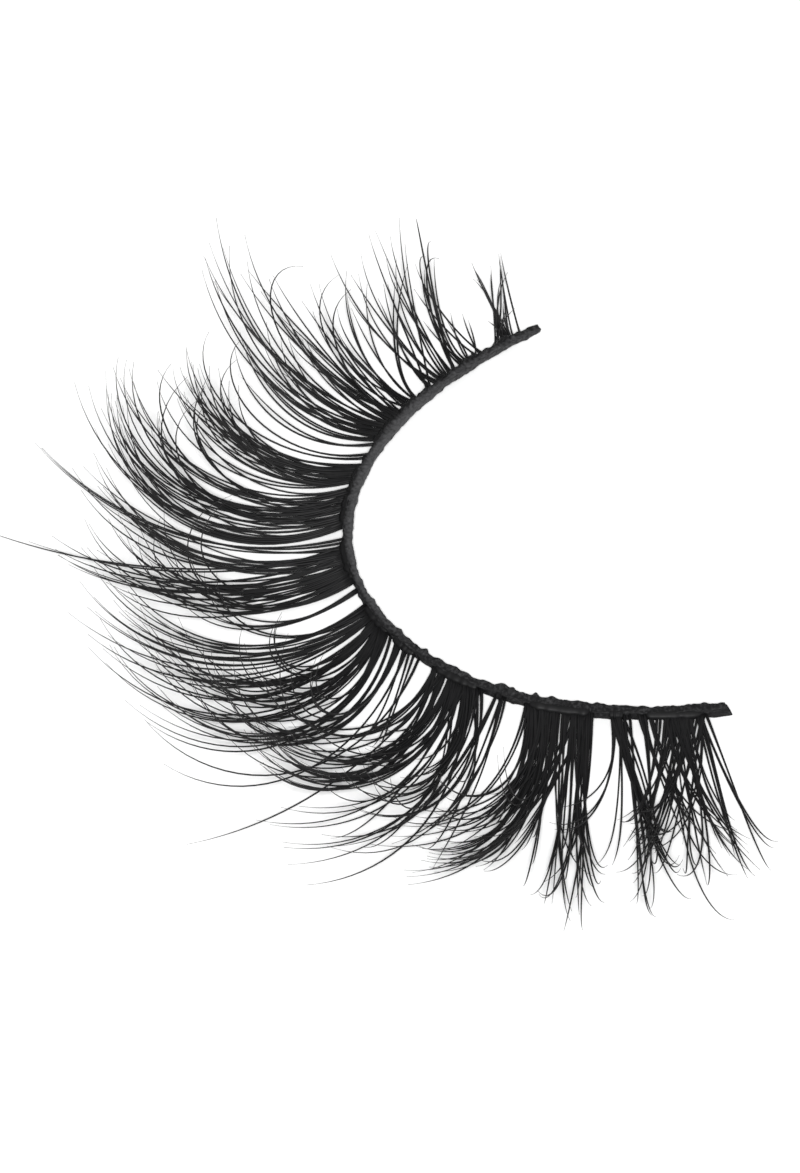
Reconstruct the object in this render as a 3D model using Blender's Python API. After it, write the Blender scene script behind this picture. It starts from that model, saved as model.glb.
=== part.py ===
"""False eyelash strip: a C-shaped band with fifteen fans of lash fibre rooted on its outer face.

Metres, +Z up. +X runs from the inner corner to the outer corner, -Y faces forward, and the
lashes leave the band outward, dip a little and curl up. The strip lies on the undersides of
its fans, with the band just clear of the surface.
"""

import math
from collections import namedtuple

import bmesh
import bpy
from mathutils import Matrix, Vector

MM = 0.001

# Band: its length along the curve, and how far it turns from the inner corner to the outer one.
# The bell is how much more it turns in the middle than at its ends. The shoulder and the crown
# are where its sides start to round over and how wide its top stays, as shares of the section.
BAND_LENGTH = 33.0 * MM
BAND_TURN = math.radians(155.7)
BAND_BELL = 0.466
BAND_THICKNESS = 0.34 * MM
BAND_HEIGHT = 0.29 * MM
BAND_SHOULDER = 0.62
BAND_CROWN = 0.50
BAND_END_SLANT = 0.26 * MM
BAND_STEPS = 44
CURVE_STEPS = 400

# The lashes sag this far below their roots before they curl up, but leave the band no steeper
# than the limit. The strip lies on those undersides, which sets the height of everything else.
BELLY_DROP = 0.50 * MM
STEEPEST_DIP = math.radians(30.0)
BAND_UNDER_ROOTS = 0.15 * MM

# Clearance between the band and each fan's head.
SEAT_GAP = 0.10 * MM

# Head of a fan: the glued block that all of its locks grow out of, and the length of one
# straight step of it along the band.
HEAD_DEPTH = 0.36 * MM
HEAD_HEIGHT = 0.26 * MM
HEAD_STEP = 0.50 * MM

# Locks: the longest one, and the width and thickness of each at its root and tip. The inset
# keeps the outer locks' roots inside the head, as a share of a lock's width. A lock reaches a
# share of its fan's length, from the table in turn, and all of them bend at the same stations
# up to the shortest reach.
LONGEST_LASH = 14.8 * MM
LOCK_WIDTH = 0.48 * MM
LOCK_THICKNESS = 0.22 * MM
LOCK_TIP = 0.07 * MM
LOCK_INSET = 0.40
LOCK_SIDES = 5
LOCK_STEPS = 8
LOCK_TAPER = 2.0
CURL_EASE = 1.15
SHORTEST_REACH = 0.84
REACHES = (0.93, 1.00, 0.88, 0.97, 0.90)
DIP_SEARCH_STEPS = 30
CRISP_EDGE = 50.0

ROOT_HEIGHT = BELLY_DROP + 0.5 * LOCK_THICKNESS
BAND_UNDERSIDE = ROOT_HEIGHT - BAND_UNDER_ROOTS

# Band sections: share of the band's length, thickness and height as shares of the band's own.
Section = namedtuple("Section", "share thickness height")
BAND_SECTIONS = (
    Section(0.00, 0.90, 0.90),
    Section(0.06, 0.96, 0.96),
    Section(0.35, 1.00, 1.00),
    Section(0.65, 1.04, 1.02),
    Section(0.82, 1.10, 1.12),
    Section(0.93, 1.12, 1.22),
    Section(1.00, 1.14, 1.55),
)

# Fans from the inner corner to the outer one: the shares of the band where the roots begin and
# end, the lean of the first and last lock and the sweep along each lock (degrees, positive
# toward the outer corner), the rise at the tip (degrees over level), the length as a share of
# the longest lash, and the number of locks.
Fan = namedtuple("Fan", "root_from root_to lean_from lean_to sweep rise length locks")
FANS = (
    Fan(0.019, 0.062, -10, -24, 0, 88, 0.27, 5),
    Fan(0.074, 0.117, -18, -12, 3, 88, 0.42, 5),
    Fan(0.132, 0.163, -18, -12, 2, 90, 0.49, 4),
    Fan(0.178, 0.214, -11, -6, 2, 88, 0.52, 4),
    Fan(0.228, 0.272, -9, -4, 0, 92, 0.64, 6),
    Fan(0.287, 0.350, -3, 3, 0, 102, 0.73, 8),
    Fan(0.363, 0.402, 1, 5, 0, 88, 0.85, 5),
    Fan(0.416, 0.485, 1, 6, 0, 84, 0.94, 8),
    Fan(0.520, 0.576, 3, 10, 0, 80, 0.99, 7),
    Fan(0.588, 0.627, 7, 10, -2, 76, 0.95, 4),
    Fan(0.640, 0.712, 6, 12, -5, 68, 0.93, 8),
    Fan(0.727, 0.746, 8, 11, -7, 62, 0.91, 3),
    Fan(0.762, 0.848, 5, 12, -9, 56, 0.90, 9),
    Fan(0.861, 0.886, 8, 10, -10, 54, 0.86, 3),
    Fan(0.904, 0.982, 7, 15, -10, 54, 0.85, 9),
)


def clear_objects():
    """Remove every object that is already in the file."""
    for existing in list(bpy.data.objects):
        bpy.data.objects.remove(existing, do_unlink=True)


def make_material(name, colour, roughness, metallic=0.0):
    """Return a plain Principled material."""
    material = bpy.data.materials.new(name)
    material.use_nodes = True
    shader = material.node_tree.nodes["Principled BSDF"]
    shader.inputs["Base Color"].default_value = (*colour, 1.0)
    shader.inputs["Roughness"].default_value = roughness
    shader.inputs["Metallic"].default_value = metallic
    return material


def band_curve():
    """Return the band's centre line as a list of (x, y, heading), one per curve step."""
    rates = []
    for step in range(CURVE_STEPS + 1):
        share = step / CURVE_STEPS
        rates.append(1.0 + BAND_BELL * math.cos(2.0 * math.pi * (share - 0.5)))
    turned = [0.0]
    for before, after in zip(rates, rates[1:]):
        turned.append(turned[-1] + 0.5 * (before + after))
    headings = [BAND_TURN * (turn / turned[-1] - 0.5) for turn in turned]
    points = [(0.0, 0.0)]
    stride = BAND_LENGTH / CURVE_STEPS
    for before, after in zip(headings, headings[1:]):
        middle = 0.5 * (before + after)
        x, y = points[-1]
        points.append((x + stride * math.cos(middle), y + stride * math.sin(middle)))
    centre_x = 0.5 * (points[0][0] + points[-1][0])
    front_y = min(y for _, y in points)
    return [(x - centre_x, y - front_y, heading) for (x, y), heading in zip(points, headings)]


def curve_at(curve, share):
    """Return the position and heading of the band's centre line at a share of its length."""
    place = min(max(share, 0.0), 1.0) * CURVE_STEPS
    index = min(int(place), CURVE_STEPS - 1)
    part = place - index
    first, second = curve[index], curve[index + 1]
    x, y, heading = (a + (b - a) * part for a, b in zip(first, second))
    return Vector((x, y, 0.0)), heading


def outward(heading):
    """Return the level direction from the band toward the lashes."""
    return Vector((math.sin(heading), -math.cos(heading), 0.0))


def along(heading):
    """Return the level direction along the band toward the outer corner."""
    return Vector((math.cos(heading), math.sin(heading), 0.0))


def band_section_at(share):
    """Return the band's thickness and height at a share of its length."""
    for low, high in zip(BAND_SECTIONS, BAND_SECTIONS[1:]):
        if share <= high.share:
            part = (share - low.share) / (high.share - low.share)
            thickness = low.thickness + (high.thickness - low.thickness) * part
            height = low.height + (high.height - low.height) * part
            return BAND_THICKNESS * thickness, BAND_HEIGHT * height
    return BAND_THICKNESS * BAND_SECTIONS[-1].thickness, BAND_HEIGHT * BAND_SECTIONS[-1].height


def add_mesh(name, vertices, faces, material):
    """Return a new object whose faces all look outward."""
    mesh = bpy.data.meshes.new(name)
    mesh.from_pydata([tuple(vertex) for vertex in vertices], [], faces)
    work = bmesh.new()
    work.from_mesh(mesh)
    bmesh.ops.recalc_face_normals(work, faces=work.faces)
    work.to_mesh(mesh)
    work.free()
    mesh.materials.append(material)
    thing = bpy.data.objects.new(name, mesh)
    bpy.context.scene.collection.objects.link(thing)
    return thing


def skin(rings):
    """Return vertices and faces of a closed tube through rings of equal size, with flat ends."""
    vertices = [point for ring in rings for point in ring]
    size = len(rings[0])
    faces = []
    for row in range(len(rings) - 1):
        for side in range(size):
            following = (side + 1) % size
            faces.append((row * size + side, row * size + following,
                          (row + 1) * size + following, (row + 1) * size + side))
    last = (len(rings) - 1) * size
    faces.append(tuple(reversed(range(size))))
    faces.append(tuple(last + side for side in range(size)))
    return vertices, faces


def build_band(curve, material):
    """Build the band: flat underneath, rounded on top, with a slanted cut at the outer corner."""
    rings = []
    for step in range(BAND_STEPS + 1):
        share = step / BAND_STEPS
        centre, heading = curve_at(curve, share)
        thickness, height = band_section_at(share)
        half = 0.5 * thickness
        crown = BAND_CROWN * half
        outline = ((half, 0.0), (half, BAND_SHOULDER), (crown, 1.0),
                   (-crown, 1.0), (-half, BAND_SHOULDER), (-half, 0.0))
        slant = BAND_END_SLANT if step == BAND_STEPS else 0.0
        ring = []
        for offset, level in outline:
            shift = slant * (1.0 - level)
            rise = Vector((0.0, 0.0, BAND_UNDERSIDE + height * level))
            ring.append(centre + outward(heading) * offset + along(heading) * shift + rise)
        rings.append(ring)
    vertices, faces = skin(rings)
    return add_mesh("band", vertices, faces, material)


def seat_distance(share):
    """Return how far outside the band's centre line a fan's head begins."""
    return 0.5 * band_section_at(share)[0] + SEAT_GAP


def head_rings(curve, fan):
    """Return the rings of a fan's head, which follows the outer face of the band."""
    steps = max(2, round((fan.root_to - fan.root_from) * BAND_LENGTH / HEAD_STEP))
    rings = []
    for step in range(steps + 1):
        share = fan.root_from + (fan.root_to - fan.root_from) * step / steps
        centre, heading = curve_at(curve, share)
        near = seat_distance(share)
        far = near + HEAD_DEPTH
        low = ROOT_HEIGHT - 0.5 * HEAD_HEIGHT
        high = ROOT_HEIGHT + 0.5 * HEAD_HEIGHT
        rings.append([centre + outward(heading) * reach + Vector((0.0, 0.0, level))
                      for reach, level in ((near, low), (far, low), (far, high), (near, high))])
    return rings


def root_dip(length, rise):
    """Return the angle below level at which a lash leaves its root to sag by the belly drop."""
    low, high = 0.0, STEEPEST_DIP
    for _ in range(DIP_SEARCH_STEPS):
        dip = 0.5 * (low + high)
        level_run = (dip / (rise + dip)) ** (1.0 / CURL_EASE)
        sag = length * dip * level_run * CURL_EASE / (CURL_EASE + 1.0)
        if sag > BELLY_DROP:
            high = dip
        else:
            low = dip
    return dip


def lash_path(curve, fan, share, lean, reach):
    """Return the point, direction and level side of one lock at each station, root to tip.

    All locks of a fan share one curl and bend at the same stations, and each ends at its own
    reach along it. The root is buried halfway through the fan's head.
    """
    length = fan.length * LONGEST_LASH
    rise = math.radians(fan.rise)
    dip = root_dip(length, rise)
    centre, heading = curve_at(curve, share)
    buried = seat_distance(share) + 0.5 * HEAD_DEPTH
    point = centre + outward(heading) * buried + Vector((0.0, 0.0, ROOT_HEIGHT))
    stations = [SHORTEST_REACH * step / (LOCK_STEPS - 1) for step in range(LOCK_STEPS)]
    stations.append(reach)
    path = []
    for step, run in enumerate(stations):
        turn = heading + math.radians(lean + fan.sweep * run)
        climb = -dip + (rise + dip) * run ** CURL_EASE
        direction = outward(turn) * math.cos(climb) + Vector((0.0, 0.0, math.sin(climb)))
        if step:
            stride = length * (run - stations[step - 1])
            point = point + (path[-1][1] + direction).normalized() * stride
        path.append((point, direction, along(turn)))
    return path


def lock_rings(path):
    """Return the rings of one tapered lock, a little flattened and pointed at its tip."""
    rings = []
    for step, (point, direction, across) in enumerate(path):
        upward = direction.cross(across)
        taper = 1.0 - (step / LOCK_STEPS) ** LOCK_TAPER
        half_width = 0.5 * (LOCK_TIP + (LOCK_WIDTH - LOCK_TIP) * taper)
        half_thickness = 0.5 * (LOCK_TIP + (LOCK_THICKNESS - LOCK_TIP) * taper)
        ring = []
        for side in range(LOCK_SIDES):
            angle = 2.0 * math.pi * side / LOCK_SIDES
            ring.append(point + across * (half_width * math.cos(angle))
                        + upward * (half_thickness * math.sin(angle)))
        rings.append(ring)
    return rings


def join_bodies(target, others):
    """Fuse the other solids into the target, one at a time, and remove them."""
    for other in others:
        union = target.modifiers.new("join", "BOOLEAN")
        union.operation = "UNION"
        union.solver = "EXACT"
        union.object = other
        graph = bpy.context.evaluated_depsgraph_get()
        joined = bpy.data.meshes.new_from_object(target.evaluated_get(graph))
        target.modifiers.remove(union)
        before = target.data
        target.data = joined
        bpy.data.meshes.remove(before)
        bpy.data.objects.remove(other, do_unlink=True)


def build_fan(curve, number, fan, material):
    """Build one fan: its head with every lock fused to it."""
    name = f"lash_fan_{number:02d}"
    vertices, faces = skin(head_rings(curve, fan))
    target = add_mesh(name, vertices, faces, material)
    inset = LOCK_INSET * LOCK_WIDTH / BAND_LENGTH
    locks = []
    for index in range(fan.locks):
        run = index / (fan.locks - 1)
        share = fan.root_from + inset + (fan.root_to - fan.root_from - 2.0 * inset) * run
        lean = fan.lean_from + (fan.lean_to - fan.lean_from) * run
        reach = REACHES[(index + number) % len(REACHES)]
        lock_vertices, lock_faces = skin(lock_rings(lash_path(curve, fan, share, lean, reach)))
        locks.append(add_mesh(f"lock_{index}", lock_vertices, lock_faces, material))
    join_bodies(target, locks)
    target.data.name = name
    return target


def smooth_round_sides(thing, limit):
    """Shade smoothly, but leave edges that turn more than the limit (degrees) crisp."""
    work = bmesh.new()
    work.from_mesh(thing.data)
    for face in work.faces:
        face.smooth = True
    for edge in work.edges:
        edge.smooth = edge.calc_face_angle(0.0) < math.radians(limit)
    work.to_mesh(thing.data)
    work.free()


def rest_on_surface(pieces):
    """Move the strip so that the origin lies under its middle, on the surface that it rests on."""
    corners = [vertex.co for piece in pieces for vertex in piece.data.vertices]
    low = [min(corner[axis] for corner in corners) for axis in range(3)]
    high = [max(corner[axis] for corner in corners) for axis in range(3)]
    centre = Vector((0.5 * (low[0] + high[0]), 0.5 * (low[1] + high[1]), low[2]))
    for piece in pieces:
        piece.data.transform(Matrix.Translation(-centre))


def main():
    """Build the strip in its resting pose."""
    clear_objects()
    band_material = make_material("glued cotton band", (0.035, 0.035, 0.037), 0.62)
    fibre_material = make_material("black lash fibre", (0.008, 0.008, 0.009), 0.38)
    curve = band_curve()
    pieces = [build_band(curve, band_material)]
    for number, fan in enumerate(FANS, start=1):
        pieces.append(build_fan(curve, number, fan, fibre_material))
    for piece in pieces:
        smooth_round_sides(piece, CRISP_EDGE)
    rest_on_surface(pieces)


main()
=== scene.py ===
"""Dressed false eyelash strip: a glued thread band with fans of fine black fibre along it.

Metres, +Z up. +X runs from the inner corner to the outer corner, -Y faces forward. Each fan of
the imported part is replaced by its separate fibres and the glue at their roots, and the band by a
finer one with its wrapped thread and beads of glue.
"""

import math
from collections import namedtuple

import bpy
import numpy as np
from bpy.props import FloatProperty, FloatVectorProperty, IntProperty, PointerProperty
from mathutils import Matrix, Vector


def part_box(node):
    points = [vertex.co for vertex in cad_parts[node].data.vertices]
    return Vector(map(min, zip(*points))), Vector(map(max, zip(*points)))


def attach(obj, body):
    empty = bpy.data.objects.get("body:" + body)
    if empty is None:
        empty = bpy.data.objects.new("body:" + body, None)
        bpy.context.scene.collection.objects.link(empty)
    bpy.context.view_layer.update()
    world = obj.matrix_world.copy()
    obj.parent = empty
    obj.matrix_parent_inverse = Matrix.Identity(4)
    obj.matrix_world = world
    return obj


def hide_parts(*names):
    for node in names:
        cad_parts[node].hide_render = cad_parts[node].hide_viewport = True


bl_info = {
    "name": "Lash Strip Dresser",
    "version": (1, 0, 0),
    "blender": (4, 5, 0),
    "location": "View3D > Sidebar > Lash Strip",
    "description": "Builds the fibres, the glued band and the photo stage of a false eyelash strip",
    "category": "Object",
}

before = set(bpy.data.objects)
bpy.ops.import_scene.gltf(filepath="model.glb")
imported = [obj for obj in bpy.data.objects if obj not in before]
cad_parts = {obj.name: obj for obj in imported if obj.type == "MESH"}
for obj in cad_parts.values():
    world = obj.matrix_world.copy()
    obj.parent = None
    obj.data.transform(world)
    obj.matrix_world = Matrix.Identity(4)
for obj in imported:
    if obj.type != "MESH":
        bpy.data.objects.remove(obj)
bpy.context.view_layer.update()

MM = 0.001

# The band's centre line: how much more it turns in the middle than at its ends, and its steps.
BAND_BELL = 0.466
CURVE_STEPS = 400

# Band sections: share of the band's length, thickness and height as shares of the band's own.
Section = namedtuple("Section", "share thickness height")
BAND_SECTIONS = (
    Section(0.00, 1.00, 0.95),
    Section(0.06, 1.04, 1.00),
    Section(0.28, 1.16, 1.05),
    Section(0.45, 0.90, 1.10),
    Section(0.66, 0.92, 1.20),
    Section(0.79, 1.50, 1.36),
    Section(0.88, 1.20, 1.50),
    Section(1.00, 1.20, 1.80),
)

# Beads of dried glue: share of the band's length, place across it (-1 inner edge, 1 outer edge),
# length along the band and height over its surface (millimetres).
Bead = namedtuple("Bead", "share across length height")
GLUE_BEADS = (
    Bead(0.070, -0.9, 0.30, 0.03),
    Bead(0.235, -0.8, 0.24, 0.03),
    Bead(0.372, -0.9, 0.20, 0.03),
    Bead(0.527, -0.9, 0.26, 0.06),
    Bead(0.590, -0.8, 0.30, 0.04),
    Bead(0.630, -0.9, 0.28, 0.11),
    Bead(0.652, -0.8, 0.30, 0.05),
    Bead(0.678, -0.9, 0.60, 0.07),
    Bead(0.692, -0.8, 0.26, 0.05),
    Bead(0.737, -0.7, 0.42, 0.12),
    Bead(0.750, -0.8, 0.24, 0.10),
    Bead(0.778, -0.9, 0.22, 0.08),
    Bead(0.798, -0.8, 0.26, 0.05),
    Bead(0.826, -0.8, 0.60, 0.05),
    Bead(0.852, -0.7, 0.40, 0.04),
    Bead(0.905, -0.7, 0.40, 0.03),
    Bead(0.962, -0.6, 0.30, 0.03),
)

# Wisps, from the inner corner to the outer one. Each row is one run of bundles: the number of
# its fan, the shares of the band where its first and last bundle are rooted, and from the first
# bundle to the last the lean at the root, the sweep along the fibre (degrees, positive toward
# the outer corner), the rise at the tip (degrees over level), the length as a share of the
# longest lash, the number of bundles and the fibres in each.
Wisp = namedtuple("Wisp", "fan root_from root_to lean_from lean_to sweep_from sweep_to "
                          "rise_from rise_to length_from length_to bundles fibres")
WISPS = (
    Wisp(1, 0.024, 0.024, -28, -28, 14, 14, 66, 66, 0.28, 0.28, 1, 1),
    Wisp(1, 0.034, 0.046, -26, -27, 12, 6, 72, 84, 0.30, 0.28, 4, 2),
    Wisp(1, 0.054, 0.060, -34, -40, 2, 8, 86, 90, 0.25, 0.28, 2, 1),
    Wisp(1, 0.038, 0.054, -30, -24, 0, 0, 60, 60, 0.12, 0.14, 3, 2),
    Wisp(1, 0.066, 0.066, -54, -54, 27, 27, 94, 94, 0.32, 0.32, 1, 1),
    Wisp(2, 0.117, 0.122, -30, -31, 3, 3, 128, 133, 0.55, 0.59, 2, 2),
    Wisp(2, 0.090, 0.108, -50, -30, 30, 60, 40, 60, 0.15, 0.20, 3, 1),
    Wisp(2, 0.078, 0.084, -8, -8, 14, 10, 67, 70, 0.36, 0.30, 2, 1),
    Wisp(2, 0.098, 0.110, -13, -12, -16, 6, 87, 87, 0.37, 0.33, 3, 1),
    Wisp(2, 0.124, 0.128, -26, -26, 28, 28, 92, 92, 0.44, 0.48, 2, 1),
    Wisp(2, 0.084, 0.104, -24, -14, 0, 0, 60, 70, 0.16, 0.20, 3, 1),
    Wisp(3, 0.134, 0.142, -15, -13, -8, -4, 58, 80, 0.54, 0.48, 3, 2),
    Wisp(3, 0.149, 0.158, -8, -18, -5, -2, 62, 88, 0.50, 0.46, 2, 2),
    Wisp(3, 0.161, 0.165, -40, -42, 18, 18, 70, 70, 0.50, 0.53, 2, 1),
    Wisp(3, 0.146, 0.146, -3, -3, -6, -6, 55, 55, 0.50, 0.50, 1, 1),
    Wisp(4, 0.182, 0.192, -24, -14, -13, -10, 62, 64, 0.46, 0.48, 3, 2),
    Wisp(4, 0.196, 0.212, -30, -12, 46, 28, 72, 70, 0.43, 0.46, 3, 2),
    Wisp(4, 0.184, 0.208, 0, 8, 0, -6, 60, 66, 0.36, 0.46, 3, 1),
    Wisp(5, 0.220, 0.236, -14, 3, 13, -22, 42, 56, 0.70, 0.78, 4, 2),
    Wisp(5, 0.233, 0.250, 8, 16, -36, -40, 62, 66, 0.88, 0.68, 4, 2),
    Wisp(5, 0.244, 0.268, 14, 25, -30, -50, 58, 72, 0.50, 0.56, 4, 2),
    Wisp(5, 0.224, 0.256, -14, 6, 2, -26, 52, 62, 0.40, 0.50, 5, 2),
    Wisp(5, 0.214, 0.222, -22, -18, 10, 13, 42, 44, 0.60, 0.66, 2, 3),
    Wisp(5, 0.218, 0.218, -16, -16, 19, 19, 133, 133, 0.61, 0.61, 1, 2),
    Wisp(5, 0.229, 0.229, 0, 0, -8, -8, 150, 150, 0.79, 0.79, 1, 1),
    Wisp(6, 0.284, 0.292, 16, 14, -6, -10, 131, 118, 0.66, 0.71, 2, 1),
    Wisp(6, 0.304, 0.330, 14, 12, -18, -32, 82, 84, 0.64, 0.72, 6, 3),
    Wisp(6, 0.304, 0.314, 15, 18, -14, -24, 118, 108, 0.68, 0.70, 2, 1),
    Wisp(6, 0.310, 0.330, 13, 14, -20, -32, 80, 78, 0.62, 0.68, 3, 2),
    Wisp(6, 0.334, 0.350, 21, 26, -42, -52, 80, 82, 0.76, 0.90, 4, 2),
    Wisp(7, 0.354, 0.370, 20, 23, -42, -50, 80, 94, 0.87, 0.97, 4, 3),
    Wisp(7, 0.364, 0.378, 7, 12, -12, -30, 118, 122, 0.88, 0.94, 3, 2),
    Wisp(7, 0.385, 0.403, 17, 20, -54, -60, 86, 76, 0.92, 0.96, 4, 3),
    Wisp(7, 0.384, 0.402, 12, 20, -25, -48, 60, 62, 0.80, 0.88, 4, 2),
    Wisp(8, 0.424, 0.455, 0, 5, -36, -42, 42, 50, 0.95, 0.93, 4, 2),
    Wisp(8, 0.440, 0.484, 8, 11, -30, -28, 58, 70, 0.87, 0.90, 8, 3),
    Wisp(8, 0.432, 0.480, 11, 11, -18, -10, 56, 54, 0.86, 0.84, 6, 2),
    Wisp(8, 0.460, 0.460, -4, -4, 40, 40, 104, 104, 0.89, 0.89, 1, 2),
    Wisp(8, 0.476, 0.480, 10, 10, -40, -40, 138, 146, 0.82, 0.90, 2, 1),
    Wisp(8, 0.443, 0.443, 4, 4, -18, -18, 22, 22, 0.84, 0.84, 1, 1),
    Wisp(8, 0.446, 0.446, 0, 0, -18, -18, 21, 21, 1.00, 1.00, 1, 1),
    Wisp(8, 0.499, 0.505, 9, 13, -20, -18, 54, 48, 0.62, 0.56, 2, 2),
    Wisp(9, 0.530, 0.546, 8, 13, -50, -68, 60, 46, 0.88, 0.93, 4, 3),
    Wisp(9, 0.544, 0.562, 14, 18, -54, -74, 54, 60, 0.90, 1.02, 5, 2),
    Wisp(9, 0.554, 0.573, 25, 38, -75, -76, 66, 72, 1.00, 1.10, 5, 3),
    Wisp(9, 0.560, 0.570, 42, 45, -88, -84, 50, 52, 1.02, 1.08, 3, 3),
    Wisp(9, 0.564, 0.577, 31, 38, -60, -70, 60, 80, 0.84, 0.96, 3, 2),
    Wisp(9, 0.556, 0.572, 27, 36, -54, -59, 108, 110, 0.82, 0.94, 3, 2),
    Wisp(9, 0.534, 0.554, 5, 12, -22, -28, 94, 104, 0.80, 0.90, 2, 2),
    Wisp(9, 0.546, 0.570, 28, 40, -42, -43, 62, 30, 0.60, 0.56, 3, 3),
    Wisp(10, 0.588, 0.600, 34, 32, -75, -42, 72, 104, 1.08, 1.04, 3, 3),
    Wisp(10, 0.606, 0.622, 34, 22, -5, 10, 48, 42, 0.44, 0.40, 3, 1),
    Wisp(10, 0.612, 0.628, 28, 24, -60, -74, 64, 62, 1.05, 1.12, 2, 1),
    Wisp(11, 0.652, 0.690, 24, 15, -70, -76, 66, 66, 0.90, 1.02, 6, 3),
    Wisp(11, 0.652, 0.674, 14, 20, -60, -70, 58, 62, 0.80, 0.92, 4, 3),
    Wisp(11, 0.676, 0.712, 27, 27, -68, -60, 42, 30, 0.90, 1.00, 5, 3),
    Wisp(11, 0.686, 0.712, 23, 25, -46, -66, 78, 66, 0.92, 1.00, 4, 2),
    Wisp(11, 0.696, 0.716, 4, 0, -10, 10, 46, 40, 0.90, 0.90, 2, 1),
    Wisp(11, 0.670, 0.704, 38, 32, -30, -38, 62, 62, 0.78, 0.76, 2, 2),
    Wisp(11, 0.652, 0.706, 24, 20, -45, -40, 42, 40, 0.46, 0.56, 5, 3),
    Wisp(11, 0.667, 0.667, 1, 1, -24, -24, 20, 20, 0.95, 0.95, 1, 1),
    Wisp(12, 0.734, 0.742, 6, 18, -16, -38, 24, 24, 0.74, 0.66, 3, 2),
    Wisp(12, 0.733, 0.742, 2, 0, 4, 10, 84, 64, 0.94, 0.86, 2, 1),
    Wisp(13, 0.769, 0.784, 10, 14, -44, -48, 50, 44, 0.84, 0.84, 2, 2),
    Wisp(13, 0.773, 0.802, 19, 15, -60, -50, 50, 42, 0.88, 0.84, 7, 4),
    Wisp(13, 0.773, 0.790, 20, 20, -44, -60, 66, 36, 0.88, 0.88, 3, 3),
    Wisp(13, 0.787, 0.787, 16, 16, -28, -28, 97, 97, 1.08, 1.08, 1, 2),
    Wisp(13, 0.798, 0.838, 5, 6, 2, 10, 40, 50, 0.88, 1.00, 7, 3),
    Wisp(13, 0.810, 0.842, 5, 6, -14, 0, 48, 52, 0.96, 1.12, 5, 2),
    Wisp(13, 0.840, 0.845, 1, 3, 2, 4, 50, 50, 0.96, 1.10, 3, 2),
    Wisp(13, 0.786, 0.840, -2, -12, 6, -8, 46, 50, 0.62, 0.74, 5, 3),
    Wisp(14, 0.866, 0.878, 18, 5, -58, -36, 32, 38, 0.60, 0.66, 3, 2),
    Wisp(14, 0.867, 0.883, 19, 10, -20, -10, 62, 56, 0.94, 1.02, 5, 3),
    Wisp(14, 0.875, 0.875, 26, 26, -40, -40, 68, 68, 1.05, 1.05, 1, 2),
    Wisp(15, 0.908, 0.944, 13, 8, 12, 10, 26, 26, 0.50, 0.62, 5, 3),
    Wisp(15, 0.942, 0.974, 0, 9, 6, 4, 26, 38, 0.64, 0.78, 5, 3),
    Wisp(15, 0.924, 0.961, -5, -11, -13, -12, 46, 40, 0.66, 0.62, 5, 3),
    Wisp(15, 0.946, 0.976, -11, -17, -4, 6, 50, 58, 0.84, 1.00, 5, 2),
    Wisp(15, 0.909, 0.936, 4, 0, 0, 4, 52, 46, 1.08, 1.08, 2, 2),
    Wisp(15, 0.950, 0.973, 6, 0, -10, -30, 36, 44, 0.88, 0.85, 2, 2),
)
FAN_COUNT = 15

# How fibres are laid: the ease of their curl, the steepest dip at the root and the halvings that
# find it, their steps and sides, how far outside the band's centre line they are rooted, and the
# height over the floor under which no centre point lies.
CURL_EASE = 1.15
STEEPEST_DIP = math.radians(34.0)
SAG_SEARCH_STEPS = 24
FIBRE_STEPS = 24
FIBRE_SIDES = 5
ROOT_OFFSET = 0.12 * MM
LOWEST_POINT = 0.06 * MM

# Shares of a fibre's length at its stations, and the direction away from the floor.
RUN = np.linspace(0.0, 1.0, FIBRE_STEPS + 1)
UPWARD = np.array([0.0, 0.0, 1.0])

# A bundle: how far its fibres stand apart at the root, where they gather and at the tip, the
# share of its length where they gather, its depth at the waist and the tip as a share of its
# width there, and how late it opens.
BUNDLE_ROOT_SPREAD = 0.08 * MM
BUNDLE_WAIST_SPREAD = 0.035 * MM
BUNDLE_TIP_SPREAD = 0.46 * MM
GATHER_AT = 0.60
WAIST_DEPTH = 0.4
TIP_DEPTH = 0.5
OPENING_POWER = 3

# One fibre's width along it, as shares of the set width: past its root, how much more right at
# the root and over which share of the length, how late it tapers, and the least at the tip.
FIBRE_BODY = 0.90
ROOT_THICKENING = 0.60
ROOT_THICKENING_REACH = 0.13
TAPER_POWER = 5
TIP_WIDTH = 0.20

# How the fibres of one bundle differ: the shortest as a share of the bundle's length and how
# rare a short one is, the scatter of their width, how far they wander, how unlike one another
# and in what waves, and the limit of their offsets, in standard deviations.
SHORTEST_FIBRE = 0.70
SHORTNESS_POWER = 1.5
WIDTH_SCATTER = 0.10
WANDER = 0.06 * MM
WANDER_PICK = 7.0
WANDER_WAVES = 5.0
SCATTER_LIMIT = 1.6

# How the bundles of one row differ from their even spacing: root share, lean, sweep and rise
# (degrees), and how much shorter they come out, as a share of their length.
SHARE_SCATTER = 0.0012
LEAN_SCATTER = 2.6
SWEEP_SCATTER = 9.0
RISE_SCATTER = 8.0
LENGTH_SCATTER = 0.03

# The glue that joins the roots of one fan: a low, uneven ridge that overlaps the band's outer
# face, rounded off at its ends. It runs along the rows of at least so many bundles.
RIDGE_STEPS = 60
RIDGE_SIDES = 10
RIDGE_REACH = 0.26 * MM
RIDGE_HEIGHT = 0.15 * MM
RIDGE_OVERLAP = 0.08 * MM
RIDGE_ROUGHNESS = 0.10
RIDGE_SMOOTHING = 2.5
RIDGE_END_POWER = 8
RIDGE_END_LEAST = 0.02
RIDGE_LEAST_BUNDLES = 3
RIDGE_SEED_STEP = 50

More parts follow.
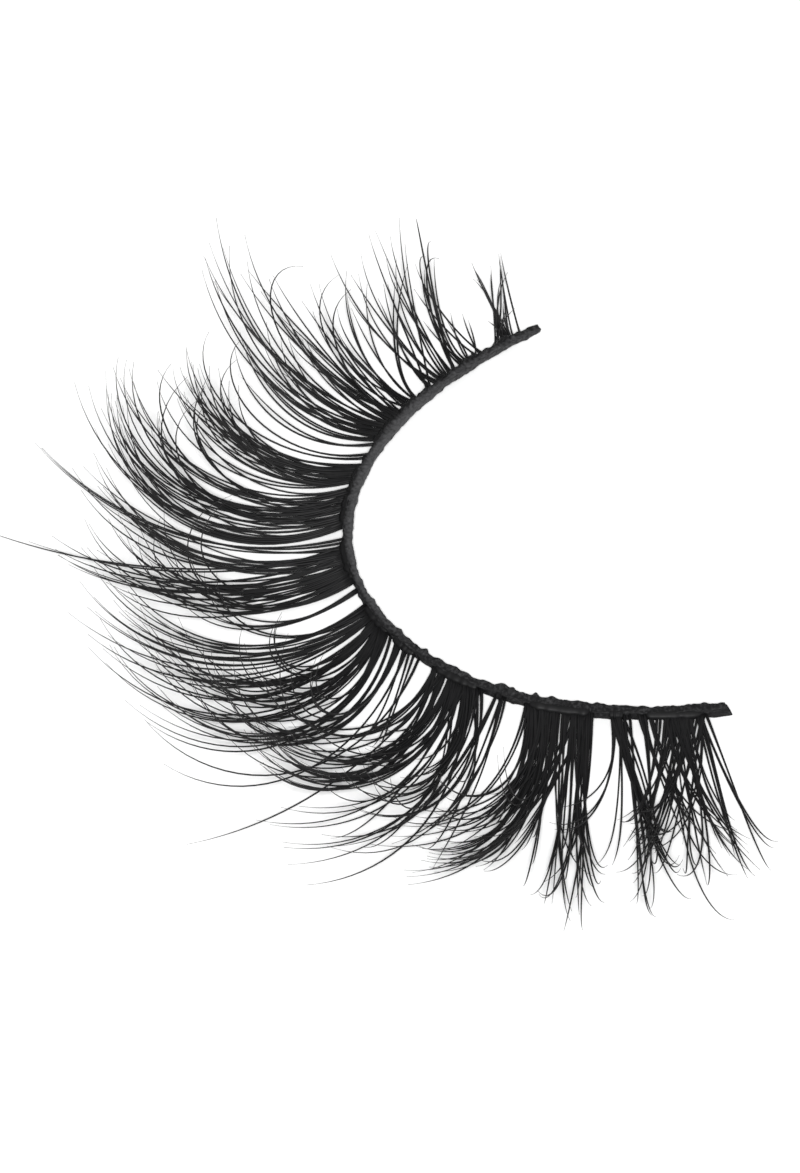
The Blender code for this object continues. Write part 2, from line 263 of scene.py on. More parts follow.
# The band's mesh: its rings and sides, how square its section is (less is squarer), how far its
# outer end is cut on a slant and over which share of its length, how far, from where and over
# which share it drops toward that end, and how its two ends are rounded off.
BAND_STEPS = 620
BAND_SIDES = 20
CORNER_POWER = 0.42
END_SLANT = 0.30 * MM
SLANT_SPAN = 0.010
END_DROP = 0.16 * MM
DROP_FROM = 0.60
DROP_SPAN = 0.25
END_ROUNDING = 0.006
END_FULLNESS = 0.92

# The thread's swellings: fine and broad lumps, blurred over so many points, and strands that
# wind around it, by radians over its length. The shares are of the fine lumps' height.
BAND_SEED = 7
FINE_LUMP_WIDTH = 1.6
BROAD_LUMP_WIDTH = 9.0
BROAD_LUMP_SHARE = 0.7
STRANDS = 3
STRAND_TWIST = 150.0
STRAND_WANDER = 0.8
STRAND_SHARE = 0.7

# How wide a bead of glue is, in the beads' measure across the band, and how fast it rises to its
# full height from the underside.
BEAD_WIDTH = 0.6
BEAD_UNDERCUT = 1.6

# Where the band's inner face is lighter, most of all around the middle: partly bare under smooth
# glue, partly a painted sheen where light falls on it.
BARE_AND_SHEEN_SHARES = (0.0, 0.12, 0.20, 0.50, 0.62, 1.0)
BARE_AND_SHEEN_AMOUNTS = (0.45, 0.6, 1.0, 1.0, 0.30, 0.06)
BARE_AND_SHEEN_LEVEL = 0.9
BARE_AND_SHEEN_EDGE = 0.75

# How much a fibre's own tone lightens it, how late it greys toward its tip, and how the thread's
# grain is stretched along and around the band.
TONE_SHARE = 0.16
GREYING_POWER = 2.0
GRAIN_ALONG = 240.0
GRAIN_AROUND = 14.0

# Where the photo's middle lies: how far to the right of and above the front of the band's centre
# line, at floor height, as the camera sees it. Then the camera's sensor in millimetres, the
# floor's side, and the light's distance and size in metres.
FRAME_RIGHT = 1.533 * MM
FRAME_UP = 0.438 * MM
SENSOR = 36.0
FLOOR_SIZE = 4.0
LIGHT_DISTANCE = 0.9
LIGHT_SIZE = 0.15


class LashBandSettings(bpy.types.PropertyGroup):
    """Sizes and colours of the glued band."""

    length: FloatProperty(name="Length", description="Length of the band along its curve",
                          default=33.0 * MM, min=0.02, max=0.05, unit="LENGTH")
    turn: FloatProperty(name="Turn", description="How far the band turns from end to end",
                        default=math.radians(155.7), min=0.5, max=math.pi, subtype="ANGLE")
    thickness: FloatProperty(name="Thickness", description="Thickness of the band seen from above",
                             default=0.34 * MM, min=0.0001, max=0.002, unit="LENGTH")
    height: FloatProperty(name="Height", description="Height of the band",
                          default=0.29 * MM, min=0.0001, max=0.002, unit="LENGTH")
    roughening: FloatProperty(name="Unevenness", description="How far the dried glue swells",
                              default=0.019 * MM, min=0.0, max=0.0002, unit="LENGTH")
    colour: FloatVectorProperty(name="Colour", description="Colour of the fibre-covered face",
                                default=(0.007, 0.007, 0.0075), size=3, min=0.0, max=1.0,
                                subtype="COLOR")
    # The glaze colour is partly the bare glue's own colour and partly a painted sheen on the band's
    # inner face.
    glaze_and_sheen: FloatVectorProperty(name="Glaze", description="Colour of the bare glued thread",
                               default=(0.060, 0.060, 0.062), size=3, min=0.0, max=1.0,
                               subtype="COLOR")


class LashFibreSettings(bpy.types.PropertyGroup):
    """Sizes and colours of the lash fibres."""

    longest: FloatProperty(name="Longest lash", description="Length of the longest lash",
                           default=14.8 * MM, min=0.005, max=0.03, unit="LENGTH")
    width: FloatProperty(name="Fibre width", description="Width of one fibre past its root",
                         default=0.080 * MM, min=0.00003, max=0.0003, unit="LENGTH")
    root_height: FloatProperty(name="Root height", description="Height of the roots over the surface",
                               default=0.60 * MM, min=0.0002, max=0.003, unit="LENGTH")
    sag: FloatProperty(name="Sag", description="How far the lashes sag below their roots",
                       default=0.44 * MM, min=0.0, max=0.003, unit="LENGTH")
    seed: IntProperty(name="Seed", description="Seed of the fibres' scatter", default=11, min=0)
    colour: FloatVectorProperty(name="Colour", description="Colour of the fibre at its root",
                                default=(0.006, 0.006, 0.0064), size=3, min=0.0, max=1.0,
                                subtype="COLOR")
    tip_colour: FloatVectorProperty(name="Tip colour", description="Colour of the fibre's thin tip",
                                    default=(0.024, 0.0235, 0.024), size=3, min=0.0, max=1.0,
                                    subtype="COLOR")


class LashStageSettings(bpy.types.PropertyGroup):
    """The floor, the light and the camera."""

    azimuth: FloatProperty(name="Azimuth", description="Direction of the camera around the strip",
                           default=math.radians(70.5), subtype="ANGLE")
    elevation: FloatProperty(name="Elevation", description="Height of the camera over the floor",
                             default=math.radians(48.0), subtype="ANGLE")
    lens: FloatProperty(name="Lens", description="Focal length in millimetres",
                        default=600.0, min=20.0, max=2000.0)
    frame_height: FloatProperty(name="Framed height", description="Height of the photo at the strip",
                                default=45.0 * MM, min=0.01, max=0.5, unit="LENGTH")
    floor: FloatVectorProperty(name="Floor", description="Colour of the floor",
                               default=(0.92, 0.92, 0.92), size=3, min=0.0, max=1.0,
                               subtype="COLOR")
    key: FloatProperty(name="Key light", description="Power of the large soft light",
                       default=10.0, min=0.0, unit="POWER")
    sky: FloatProperty(name="Sky", description="Strength of the even light all around",
                       default=0.42, min=0.0)


# The band's curve

def band_curve(length, turn):
    """Return shares, x, y and heading along the band's centre line."""
    shares = np.linspace(0.0, 1.0, CURVE_STEPS + 1)
    rates = 1.0 + BAND_BELL * np.cos(2.0 * math.pi * (shares - 0.5))
    turned = np.concatenate([[0.0], np.cumsum(0.5 * (rates[1:] + rates[:-1]))])
    headings = turn * (turned / turned[-1] - 0.5)
    middles = 0.5 * (headings[1:] + headings[:-1])
    stride = length / CURVE_STEPS
    x = np.concatenate([[0.0], np.cumsum(stride * np.cos(middles))])
    y = np.concatenate([[0.0], np.cumsum(stride * np.sin(middles))])
    return shares, x, y, headings


class BandLine:
    """The band's centre line and section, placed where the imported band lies."""

    def __init__(self, settings):
        low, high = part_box("band")
        self.settings = settings
        self.shares, x, y, self.headings = band_curve(settings.length, settings.turn)
        half_first = 0.5 * self.thickness(0.0)
        half_front = 0.5 * self.thickness(0.5)
        self.x = x - x[0] + low.x - half_first * math.sin(self.headings[0])
        self.y = y - y.min() + low.y + half_front
        self.underside = low.z

    def thickness(self, share):
        """Return the band's thickness at a share of its length."""
        return self.settings.thickness * np.interp(share, [s.share for s in BAND_SECTIONS],
                                                   [s.thickness for s in BAND_SECTIONS])

    def height(self, share):
        """Return the band's height at a share of its length."""
        return self.settings.height * np.interp(share, [s.share for s in BAND_SECTIONS],
                                                [s.height for s in BAND_SECTIONS])

    def at(self, share):
        """Return x, y and heading at shares of the band's length."""
        return (np.interp(share, self.shares, self.x), np.interp(share, self.shares, self.y),
                np.interp(share, self.shares, self.headings))

    def frames(self, share):
        """Return the centre points on the underside, the outward and the along directions."""
        x, y, heading = self.at(share)
        level = np.zeros_like(heading)
        centre = np.stack([x, y, level + self.underside], axis=-1)
        outward = np.stack([np.sin(heading), -np.cos(heading), level], axis=-1)
        along = np.stack([np.cos(heading), np.sin(heading), level], axis=-1)
        return centre, outward, along


# Meshes from arrays

def add_tubes(name, rings, material, attributes=None):
    """Return one object with a closed tube through each row of rings.

    The rings are an array of tubes, stations, ring points and coordinates.
    """
    tubes, stations, sides, _ = rings.shape
    points = rings.reshape(-1, 3)
    index = np.arange(tubes * stations * sides).reshape(tubes, stations, sides)
    following = np.roll(index, -1, axis=2)
    quads = np.stack([index[:, :-1], following[:, :-1], following[:, 1:], index[:, 1:]], axis=-1)
    quads = quads.reshape(-1, 4)
    starts = index[:, 0, ::-1].reshape(-1, sides)
    ends = index[:, -1].reshape(-1, sides)
    loops = np.concatenate([quads.ravel(), starts.ravel(), ends.ravel()])
    sizes = np.concatenate([np.full(len(quads), 4), np.full(2 * tubes, sides)])
    mesh = bpy.data.meshes.new(name)
    mesh.vertices.add(len(points))
    mesh.vertices.foreach_set("co", points.astype(np.float32).ravel())
    mesh.loops.add(len(loops))
    mesh.loops.foreach_set("vertex_index", loops.astype(np.int32))
    mesh.polygons.add(len(sizes))
    firsts = np.concatenate([[0], np.cumsum(sizes)[:-1]])
    mesh.polygons.foreach_set("loop_start", firsts.astype(np.int32))
    mesh.update(calc_edges=True)
    mesh.shade_smooth()
    for attribute, values in (attributes or {}).items():
        layer = mesh.attributes.new(attribute, "FLOAT", "POINT")
        layer.data.foreach_set("value", values.astype(np.float32).ravel())
    mesh.materials.append(material)
    piece = bpy.data.objects.new(name, mesh)
    bpy.context.scene.collection.objects.link(piece)
    return piece


def smoothed(noise, width):
    """Return noise blurred along its first axis over about that many samples, and as strong."""
    reach = int(3 * width)
    kernel = np.exp(-0.5 * (np.arange(-reach, reach + 1) / width) ** 2)
    kernel = kernel / np.sqrt(np.sum(kernel ** 2))
    padded = np.pad(noise, [(reach, reach)] + [(0, 0)] * (noise.ndim - 1), mode="reflect")
    return np.apply_along_axis(lambda row: np.convolve(row, kernel, mode="valid"), 0, padded)


# Fibres

def root_dips(lengths, rises, sag):
    """Return the angles below level at which fibres leave their roots to sag by that much."""
    low = np.zeros_like(lengths)
    high = np.full_like(lengths, STEEPEST_DIP)
    for _ in range(SAG_SEARCH_STEPS):
        dips = 0.5 * (low + high)
        level_run = (dips / (rises + dips)) ** (1.0 / CURL_EASE)
        deep = lengths * dips * level_run * CURL_EASE / (CURL_EASE + 1.0) > sag
        high = np.where(deep, dips, high)
        low = np.where(deep, low, dips)
    return dips


def directions(turn, climb):
    """Return unit directions for headings (turn) and angles over level (climb)."""
    return np.stack([np.cos(climb) * np.sin(turn), -np.cos(climb) * np.cos(turn),
                     np.sin(climb)], axis=-1)


def wisp_axes(wisp, rng):
    """Return root share, lean, sweep, rise and length of each bundle in a row of wisps."""
    part = np.linspace(0.0, 1.0, wisp.bundles) if wisp.bundles > 1 else np.array([0.5])
    scatter = rng.normal(size=(5, wisp.bundles)) * (1.0 if wisp.bundles > 1 else 0.0)
    share = wisp.root_from + (wisp.root_to - wisp.root_from) * part
    lean = wisp.lean_from + (wisp.lean_to - wisp.lean_from) * part
    sweep = wisp.sweep_from + (wisp.sweep_to - wisp.sweep_from) * part
    rise = wisp.rise_from + (wisp.rise_to - wisp.rise_from) * part
    length = wisp.length_from + (wisp.length_to - wisp.length_from) * part
    return (share + SHARE_SCATTER * scatter[0], lean + LEAN_SCATTER * scatter[1],
            sweep + SWEEP_SCATTER * scatter[2], rise + RISE_SCATTER * scatter[3],
            length * (1.0 - LENGTH_SCATTER * np.abs(scatter[4])))


def bundle_scatter(count, rng):
    """Return four offsets and a share of the length for each fibre; a lone fibre has none."""
    offsets = np.clip(rng.normal(size=(4, count)), -SCATTER_LIMIT, SCATTER_LIMIT)
    shortness = np.abs(rng.uniform(-1.0, 1.0, count)) ** SHORTNESS_POWER
    if count == 1:
        return offsets * 0.0, np.ones(1)
    return offsets, 1.0 - (1.0 - SHORTEST_FIBRE) * shortness


def fibre_offsets(offset, number):
    """Return how far a fibre lies beside and above the course of its bundle, all along it."""
    gather = np.clip(RUN / GATHER_AT, 0.0, 1.0)
    fade = 1.0 - gather * gather * (3.0 - 2.0 * gather)
    opening = BUNDLE_TIP_SPREAD * RUN ** OPENING_POWER
    beside = (offset[0] * BUNDLE_ROOT_SPREAD * fade
              + offset[1] * BUNDLE_WAIST_SPREAD * (1.0 - fade)
              + offset[2] * opening
              + WANDER * math.sin(WANDER_PICK * offset[3]) * np.sin(WANDER_WAVES * RUN + number))
    above = WAIST_DEPTH * offset[1] * BUNDLE_WAIST_SPREAD + TIP_DEPTH * offset[3] * opening
    return beside, above


def wisp_fibres(line, wisp, fibre, rng):
    """Return the centre points, level sides, radii and tones of all fibres in a row of wisps."""
    share, lean, sweep, rise, length = wisp_axes(wisp, rng)
    x, y, heading = line.at(share)
    length = length * fibre.longest
    rise = np.radians(rise)
    dip = root_dips(length, rise, fibre.sag)
    middle = 0.5 * (RUN[1:] + RUN[:-1])
    points, sides, radii, tones = [], [], [], []
    for index in range(wisp.bundles):
        offsets, reaches = bundle_scatter(wisp.fibres, rng)
        turn = heading[index] + np.radians(lean[index] + sweep[index] * middle)
        climb = -dip[index] + (rise[index] + dip[index]) * middle ** CURL_EASE
        outward = np.array([math.sin(heading[index]), -math.cos(heading[index]), 0.0])
        root = np.array([x[index], y[index], fibre.root_height]) + outward * ROOT_OFFSET
        side = np.stack([np.cos(turn), np.sin(turn), np.zeros_like(turn)], axis=-1)
        side = np.concatenate([side[:1], side])
        for number, (offset, reach) in enumerate(zip(offsets.T, reaches)):
            strides = directions(turn, climb) * (length[index] * reach / FIBRE_STEPS)
            course = np.concatenate([root[None], root + np.cumsum(strides, axis=0)])
            beside, above = fibre_offsets(offset, number)
            points.append(course + side * beside[:, None] + UPWARD * above[:, None])
            sides.append(side)
            radii.append(0.5 * fibre.width * (1.0 + WIDTH_SCATTER * offset[1]))
            tones.append(offset[3] / SCATTER_LIMIT)
    return np.array(points), np.array(sides), np.array(radii), np.array(tones)


def fibre_rings(points, sides, radii):
    """Return the rings of tapered tubes around fibre centre lines."""
    body = FIBRE_BODY + ROOT_THICKENING * np.exp(-(RUN / ROOT_THICKENING_REACH) ** 2)
    taper = np.maximum(1.0 - RUN ** TAPER_POWER, TIP_WIDTH) * body
    ahead = np.gradient(points, axis=1)
    ahead = ahead / np.linalg.norm(ahead, axis=-1, keepdims=True)
    upward = np.cross(ahead, sides)
    upward = upward / np.linalg.norm(upward, axis=-1, keepdims=True)
    across = np.cross(upward, ahead)
    angles = 2.0 * math.pi * (np.arange(FIBRE_SIDES) + 0.5) / FIBRE_SIDES
    radius = (radii[:, None] * taper[None])[..., None, None]
    circle = (across[:, :, None] * np.cos(angles)[:, None]
              + upward[:, :, None] * np.sin(angles)[:, None])
    return points[:, :, None] + circle * radius


def stand_for_fan(piece, number):
    """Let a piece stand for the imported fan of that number."""
    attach(piece, "root")
    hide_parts(f"lash_fan_{number:02d}")


def build_fan(line, number, fibre, material):
    """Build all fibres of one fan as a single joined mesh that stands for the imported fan."""
    rng = np.random.default_rng(fibre.seed + number)
    rows = [wisp_fibres(line, wisp, fibre, rng) for wisp in WISPS if wisp.fan == number]
    points, sides, radii, tones = (np.concatenate(part) for part in zip(*rows))
    points[..., 2] = np.maximum(points[..., 2], LOWEST_POINT)
    rings = fibre_rings(points, sides, radii)
    attributes = {
        "run": np.broadcast_to(RUN[None, :, None], rings.shape[:3]),
        "tone": np.broadcast_to(tones[:, None, None], rings.shape[:3]),
    }
    stand_for_fan(add_tubes(f"lash_fibres_{number:02d}", rings, material, attributes), number)


def build_root_glue(line, number, fibre, material):
    """Build the ridge of glue that joins the roots of one fan to the band."""
    rng = np.random.default_rng(fibre.seed + RIDGE_SEED_STEP + number)
    thick = [wisp for wisp in WISPS if wisp.fan == number and wisp.bundles >= RIDGE_LEAST_BUNDLES]
    first = min(wisp.root_from for wisp in thick)
    last = max(wisp.root_to for wisp in thick)
    part = np.linspace(0.0, 1.0, RIDGE_STEPS + 1)
    share = first + (last - first) * part
    centre, outward, _ = line.frames(share)
    ends = 1.0 - (2.0 * part - 1.0) ** RIDGE_END_POWER
    fullness = np.sqrt(np.clip(ends, RIDGE_END_LEAST, 1.0))
    lumps = smoothed(rng.normal(size=RIDGE_STEPS + 1), RIDGE_SMOOTHING)
    size = (1.0 + RIDGE_ROUGHNESS * lumps) * fullness
    face = 0.5 * line.thickness(share) - RIDGE_OVERLAP
    middle = fibre.root_height - line.underside
    rings = []
    for angle in 2.0 * math.pi * np.arange(RIDGE_SIDES) / RIDGE_SIDES:
        reach = face + RIDGE_REACH * size * max(0.0, math.cos(angle)) ** 2
        rise = middle + RIDGE_HEIGHT * size * math.sin(angle)
        rings.append(centre + outward * reach[:, None] + UPWARD * rise[:, None])
    rings = np.stack(rings, axis=1)[None]
    attributes = {"run": np.zeros(rings.shape[:3]), "tone": np.zeros(rings.shape[:3])}
    stand_for_fan(add_tubes(f"root_glue_{number:02d}", rings, material, attributes), number)


# Band

def bead_swell(share, across, level, length):
    """Return how far the beads of glue swell the band at these shares."""
    swell = np.zeros_like(share)
    for bead in GLUE_BEADS:
        near = math.exp(-((across - bead.across) / BEAD_WIDTH) ** 2) * min(1.0, BEAD_UNDERCUT * level)
        gap = (share - bead.share) * length / (0.5 * bead.length * MM)
        swell = swell + bead.height * MM * near * np.exp(-gap ** 2)
    return swell


def thread_swell(share, rng):
    """Return how lumps of glue and wound strands swell the band at each share and side."""
    fine = smoothed(rng.normal(size=(len(share), BAND_SIDES)), FINE_LUMP_WIDTH)
    broad = smoothed(rng.normal(size=(len(share), 1)), BROAD_LUMP_WIDTH)
    strands = np.sin(2.0 * math.pi * STRANDS * np.arange(BAND_SIDES) / BAND_SIDES
                     + share[:, None] * STRAND_TWIST + STRAND_WANDER * broad)
    return fine + BROAD_LUMP_SHARE * broad + STRAND_SHARE * strands


def band_side(index):
    """Return where one side of the section lies: across (-1 inner, 1 outer) and level (0 to 1)."""
    angle = 2.0 * math.pi * index / BAND_SIDES
    across = math.copysign(abs(math.cos(angle)) ** CORNER_POWER, math.cos(angle))
    level = 0.5 + 0.5 * math.copysign(abs(math.sin(angle)) ** CORNER_POWER, math.sin(angle))
    return across, level


def end_fullness(share):
    """Return how full the section is at these shares: a little less right at the two ends."""
    inward = np.clip(np.minimum(share, 1.0 - share) / END_ROUNDING, 0.0, 1.0)
    return END_FULLNESS + (1.0 - END_FULLNESS) * np.sqrt(1.0 - (1.0 - inward) ** 2)


def build_band(line, settings, material):
    """Build the glued thread: a swept section with swellings and beads of dried glue."""
    share = np.linspace(0.0, 1.0, BAND_STEPS + 1)
    centre, outward, along = line.frames(share)
    half = 0.5 * line.thickness(share)
    height = line.height(share)
    fullness = end_fullness(share)
    swells = settings.roughening * thread_swell(share, np.random.default_rng(BAND_SEED))
    slant = END_SLANT * np.clip((share - (1.0 - SLANT_SPAN)) / SLANT_SPAN, 0.0, 1.0)
    drop = END_DROP * np.clip((share - DROP_FROM) / DROP_SPAN, 0.0, 1.0)
    # Painted sheen: the inner face is made lighter, most around the middle, partly for bare glue and
    # partly for light falling on it.
    bareness_and_sheen = BARE_AND_SHEEN_LEVEL * np.interp(share, BARE_AND_SHEEN_SHARES, BARE_AND_SHEEN_AMOUNTS)
    rings, bare_and_sheen, around = [], [], []
    for index in range(BAND_SIDES):
        across, level = band_side(index)
        swell = swells[:, index] + bead_swell(share, across, level, settings.length)
        # The slant reaches farthest at the foot of the outer face, where lowness is 1.
        lowness = 0.5 * (1.0 - level) + 0.25 * (1.0 + across)
        side = across * (half * fullness + swell)
        lift = swell * max(0.0, 2.0 * level - 1.0)
        rise = height * (0.5 + (level - 0.5) * fullness) + lift - drop
        ring = centre + outward * side[:, None] + along * (slant * lowness)[:, None]
        rings.append(ring + UPWARD * rise[:, None])
        bare_and_sheen.append(bareness_and_sheen * min(1.0, BARE_AND_SHEEN_EDGE * (1.0 - across)))
        around.append(np.full_like(share, index / BAND_SIDES))
    rings = np.stack(rings, axis=1)[None]
    attributes = {
        "bare_and_sheen": np.stack(bare_and_sheen, axis=1),
        "around": np.stack(around, axis=1),
        "along": np.repeat(share[:, None], BAND_SIDES, axis=1),
    }
    piece = add_tubes("band_glued_thread", rings, material, attributes)
    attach(piece, "root")
    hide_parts("band")


# Materials

def new_group(name, inputs, outputs):
    """Return a node group with these sockets, and its input and output nodes."""
    group = bpy.data.node_groups.new(name, "ShaderNodeTree")
    for label, kind in inputs:
        group.interface.new_socket(label, in_out="INPUT", socket_type=f"NodeSocket{kind}")
    for label, kind in outputs:
        group.interface.new_socket(label, in_out="OUTPUT", socket_type=f"NodeSocket{kind}")
    return group, group.nodes.new("NodeGroupInput"), group.nodes.new("NodeGroupOutput")


def uneven_finish():
    """Return the shared node group: an uneven dark finish that a mask turns lighter."""
    group = bpy.data.node_groups.get("uneven_finish")
    if group:
        return group
    group, entry, leave = new_group(
        "uneven_finish",
        (("Dark", "Color"), ("Light", "Color"), ("Mask", "Float"), ("Coordinates", "Vector"),
         ("Scale", "Float"), ("Mottling", "Float"), ("Smooth", "Float"), ("Rough", "Float")),
        (("Colour", "Color"), ("Roughness", "Float"), ("Height", "Float")))
    nodes, links = group.nodes, group.links
    noise = nodes.new("ShaderNodeTexNoise")
    noise.inputs["Detail"].default_value = 6.0
    noise.inputs["Roughness"].default_value = 0.6
    centred = nodes.new("ShaderNodeMath")
    centred.operation = "SUBTRACT"
    centred.inputs[1].default_value = 0.5
    mottled = nodes.new("ShaderNodeMath")
    mottled.operation = "MULTIPLY_ADD"
    mottled.use_clamp = True
    mix = nodes.new("ShaderNodeMix")
    mix.data_type = "RGBA"
    span = nodes.new("ShaderNodeMapRange")
    links.new(entry.outputs["Coordinates"], noise.inputs["Vector"])
    links.new(entry.outputs["Scale"], noise.inputs["Scale"])
    links.new(noise.outputs["Fac"], centred.inputs[0])
    links.new(centred.outputs["Value"], mottled.inputs[0])
    links.new(entry.outputs["Mottling"], mottled.inputs[1])
    links.new(entry.outputs["Mask"], mottled.inputs[2])
    links.new(mottled.outputs["Value"], mix.inputs["Factor"])
    links.new(entry.outputs["Dark"], mix.inputs["A"])
    links.new(entry.outputs["Light"], mix.inputs["B"])
    links.new(noise.outputs["Fac"], span.inputs["Value"])
    links.new(entry.outputs["Smooth"], span.inputs["To Min"])
    links.new(entry.outputs["Rough"], span.inputs["To Max"])
    links.new(mix.outputs["Result"], leave.inputs["Colour"])
    links.new(span.outputs["Result"], leave.inputs["Roughness"])
    links.new(noise.outputs["Fac"], leave.inputs["Height"])
    return group


Finish = namedtuple("Finish", "dark light scale mottling smooth rough bump specular")


def dark_material(name, finish):
    """Return a dark Principled material, its finish group and its nodes."""
    material = bpy.data.materials.new(name)
    material.use_nodes = True
    nodes, links = material.node_tree.nodes, material.node_tree.links
    shader = nodes["Principled BSDF"]
    shader.inputs["Specular IOR Level"].default_value = finish.specular
    look = nodes.new("ShaderNodeGroup")
    look.node_tree = uneven_finish()
    look.inputs["Dark"].default_value = (*finish.dark, 1.0)
    look.inputs["Light"].default_value = (*finish.light, 1.0)
    look.inputs["Scale"].default_value = finish.scale
    look.inputs["Mottling"].default_value = finish.mottling
    look.inputs["Smooth"].default_value = finish.smooth
    look.inputs["Rough"].default_value = finish.rough
    relief = nodes.new("ShaderNodeBump")
    relief.inputs["Distance"].default_value = finish.bump
    links.new(look.outputs["Colour"], shader.inputs["Base Color"])
    links.new(look.outputs["Roughness"], shader.inputs["Roughness"])
    links.new(look.outputs["Height"], relief.inputs["Height"])
    links.new(relief.outputs["Normal"], shader.inputs["Normal"])
    return material, look


def attribute_node(material, name):
    """Return the value of a mesh attribute as a node output."""
    node = material.node_tree.nodes.new("ShaderNodeAttribute")
    node.attribute_name = name
    return node.outputs["Fac"]


def fibre_material(settings):
    """Return the fibre's material: darkest at the root and greyer toward the tip."""
    finish = Finish(dark=settings.colour, light=settings.tip_colour, scale=2500.0, mottling=0.5,
                    smooth=0.44, rough=0.68, bump=0.002 * MM, specular=0.18)
    material, look = dark_material("black_fibre", finish)
    nodes, links = material.node_tree.nodes, material.node_tree.links
    place = nodes.new("ShaderNodeTexCoord")
    greying = nodes.new("ShaderNodeMath")
    greying.operation = "POWER"
    greying.inputs[1].default_value = GREYING_POWER
    mask = nodes.new("ShaderNodeMath")
    mask.operation = "MULTIPLY_ADD"
    mask.inputs[1].default_value = TONE_SHARE
    links.new(attribute_node(material, "run"), greying.inputs[0])
    links.new(attribute_node(material, "tone"), mask.inputs[0])
    links.new(greying.outputs["Value"], mask.inputs[2])
    links.new(mask.outputs["Value"], look.inputs["Mask"])
    links.new(place.outputs["Object"], look.inputs["Coordinates"])
    return material


def band_material(settings):
    """Return the band's material: fibre-covered outside, lighter inside, partly bare glued thread and
    partly a painted sheen.
    """
    finish = Finish(dark=settings.colour, light=settings.glaze_and_sheen, scale=1.0, mottling=2.6,
                    smooth=0.40, rough=0.78, bump=0.04 * MM, specular=0.16)
    material, look = dark_material("glued_thread", finish)
    nodes, links = material.node_tree.nodes, material.node_tree.links
    stretched = nodes.new("ShaderNodeCombineXYZ")
    along = nodes.new("ShaderNodeMath")
    along.operation = "MULTIPLY"
    along.inputs[1].default_value = GRAIN_ALONG
    around = nodes.new("ShaderNodeMath")
    around.operation = "MULTIPLY"
    around.inputs[1].default_value = GRAIN_AROUND
    links.new(attribute_node(material, "along"), along.inputs[0])
    links.new(attribute_node(material, "around"), around.inputs[0])
    links.new(along.outputs["Value"], stretched.inputs["X"])
    links.new(around.outputs["Value"], stretched.inputs["Y"])
    links.new(stretched.outputs["Vector"], look.inputs["Coordinates"])
    # The lighter inner face: partly bare glue, partly painted sheen.
    links.new(attribute_node(material, "bare_and_sheen"), look.inputs["Mask"])
    return material


# Stage

def toward_camera(stage):
    """Return the unit direction from the strip to the camera."""
    level = math.cos(stage.elevation)
    return Vector((math.sin(stage.azimuth) * level, -math.cos(stage.azimuth) * level,
                   math.sin(stage.elevation)))


def build_camera(stage, back):
    """Place the camera at the photo's angle, with its middle where the photo's is."""
    line = BandLine(bpy.context.scene.lash_band)
    x, y, _ = line.at(0.5)
    right = Vector((math.cos(stage.azimuth), math.sin(stage.azimuth), 0.0))
    upward = back.cross(right)
    aim = Vector((float(x), float(y), 0.0)) + right * FRAME_RIGHT + upward * FRAME_UP
    data = bpy.data.cameras.new("camera")
    data.lens = stage.lens
    data.sensor_width = SENSOR
    data.clip_start = 0.01
    data.clip_end = 20.0
    camera = bpy.data.objects.new("camera", data)
    camera.location = aim + back * (stage.lens * stage.frame_height / SENSOR)
    camera.rotation_euler = back.to_track_quat("Z", "Y").to_euler()
    bpy.context.scene.collection.objects.link(camera)
    bpy.context.scene.camera = camera


def build_floor(stage):
    """Lay the plain pale floor."""
    half = 0.5 * FLOOR_SIZE
    mesh = bpy.data.meshes.new("floor")
    mesh.from_pydata([(-half, -half, 0), (half, -half, 0), (half, half, 0), (-half, half, 0)],
                     [], [(0, 1, 2, 3)])
    material = bpy.data.materials.new("pale_floor")
    material.use_nodes = True
    shader = material.node_tree.nodes["Principled BSDF"]
    shader.inputs["Base Color"].default_value = (*stage.floor, 1.0)
    shader.inputs["Roughness"].default_value = 0.9
    mesh.materials.append(material)
    floor = bpy.data.objects.new("floor", mesh)
    bpy.context.scene.collection.objects.link(floor)


def build_light(stage, back):
    """Light the strip evenly, with a soft light on the camera's side and a bright plain sky."""
    lamp = bpy.data.lights.new("softbox", "AREA")
    lamp.energy = stage.key
    lamp.size = LIGHT_SIZE
    light = bpy.data.objects.new("softbox", lamp)
    light.location = back * LIGHT_DISTANCE
    light.rotation_euler = back.to_track_quat("Z", "Y").to_euler()
    bpy.context.scene.collection.objects.link(light)
    world = bpy.data.worlds.new("studio")
    bpy.context.scene.world = world
    world.use_nodes = True
    sky = world.node_tree.nodes["Background"]
    sky.inputs["Color"].default_value = (1.0, 1.0, 1.0, 1.0)
    sky.inputs["Strength"].default_value = stage.sky
    bpy.context.scene.view_settings.view_transform = "Standard"


def build_stage(stage):
    """Set up a plain pale floor, soft even light and the photo's view."""
    back = toward_camera(stage)
    build_camera(stage, back)
    build_floor(stage)
    build_light(stage, back)


# Operators

class LASHSTRIP_OT_band(bpy.types.Operator):
    """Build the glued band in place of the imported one."""

    bl_idname = "lashstrip.band"
    bl_label = "Build band"

    def execute(self, context):
        settings = context.scene.lash_band
        build_band(BandLine(settings), settings, band_material(settings))
        return {"FINISHED"}


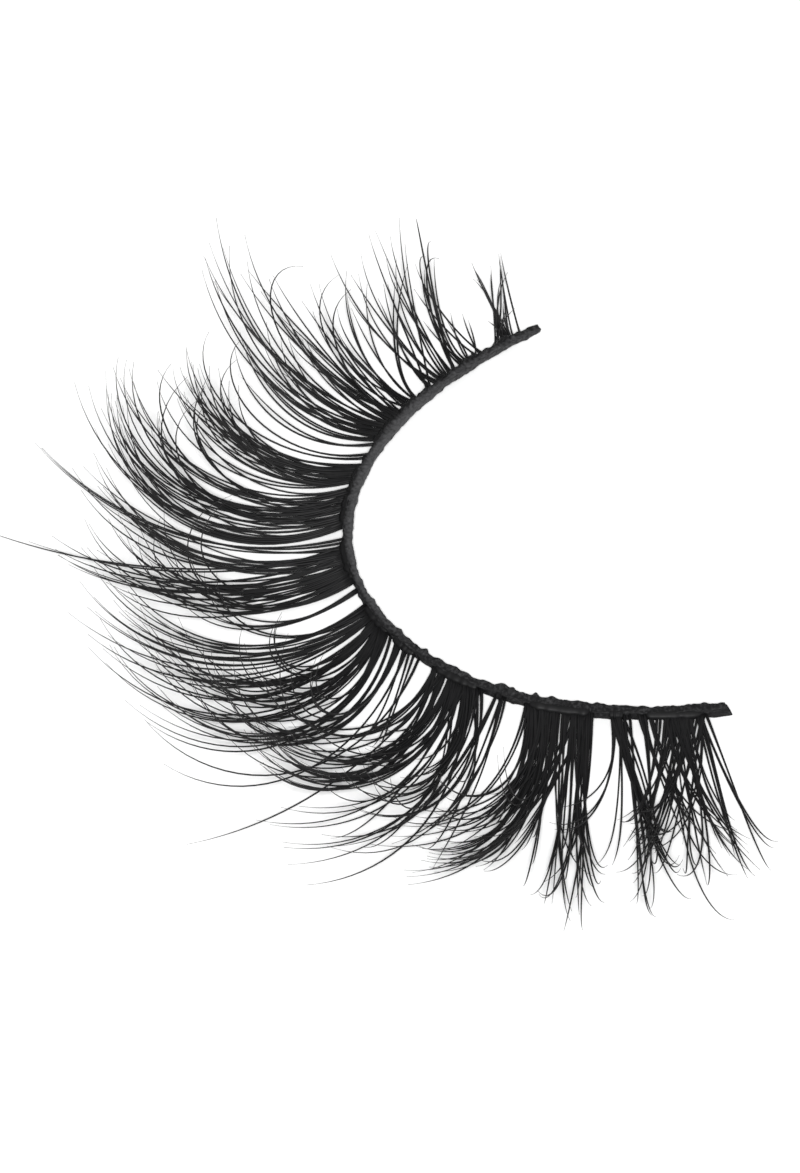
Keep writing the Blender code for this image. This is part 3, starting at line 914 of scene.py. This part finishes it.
class LASHSTRIP_OT_fibres(bpy.types.Operator):
    """Build the separate fibres of every fan and the glue at their roots."""

    bl_idname = "lashstrip.fibres"
    bl_label = "Build fibres"

    def execute(self, context):
        fibre = context.scene.lash_fibre
        material = fibre_material(fibre)
        line = BandLine(context.scene.lash_band)
        for number in range(1, FAN_COUNT + 1):
            build_fan(line, number, fibre, material)
            build_root_glue(line, number, fibre, material)
        return {"FINISHED"}


class LASHSTRIP_OT_stage(bpy.types.Operator):
    """Build the floor, the light and the camera."""

    bl_idname = "lashstrip.stage"
    bl_label = "Build stage"

    def execute(self, context):
        build_stage(context.scene.lash_stage)
        return {"FINISHED"}


class LASHSTRIP_PT_panel(bpy.types.Panel):
    """Lists the pieces of the lash strip."""

    bl_idname = "LASHSTRIP_PT_panel"
    bl_label = "Lash Strip"
    bl_space_type = "VIEW_3D"
    bl_region_type = "UI"
    bl_category = "Lash Strip"

    def draw(self, context):
        layout = self.layout
        for group, operator in (("lash_band", "lashstrip.band"), ("lash_fibre", "lashstrip.fibres"),
                                ("lash_stage", "lashstrip.stage")):
            box = layout.box()
            settings = getattr(context.scene, group)
            for name in settings.__annotations__:
                box.prop(settings, name)
            box.operator(operator)


CLASSES = (LashBandSettings, LashFibreSettings, LashStageSettings, LASHSTRIP_OT_band,
           LASHSTRIP_OT_fibres, LASHSTRIP_OT_stage, LASHSTRIP_PT_panel)


def register():
    """Register the classes and attach the settings to the scene."""
    for one in CLASSES:
        bpy.utils.register_class(one)
    bpy.types.Scene.lash_band = PointerProperty(type=LashBandSettings)
    bpy.types.Scene.lash_fibre = PointerProperty(type=LashFibreSettings)
    bpy.types.Scene.lash_stage = PointerProperty(type=LashStageSettings)


def unregister():
    """Detach the settings and unregister the classes."""
    del bpy.types.Scene.lash_stage
    del bpy.types.Scene.lash_fibre
    del bpy.types.Scene.lash_band
    for one in reversed(CLASSES):
        bpy.utils.unregister_class(one)


def main():
    """Build the dressed strip."""
    register()
    bpy.ops.lashstrip.band()
    bpy.ops.lashstrip.fibres()
    bpy.ops.lashstrip.stage()


if __name__ == "__main__":
    main()
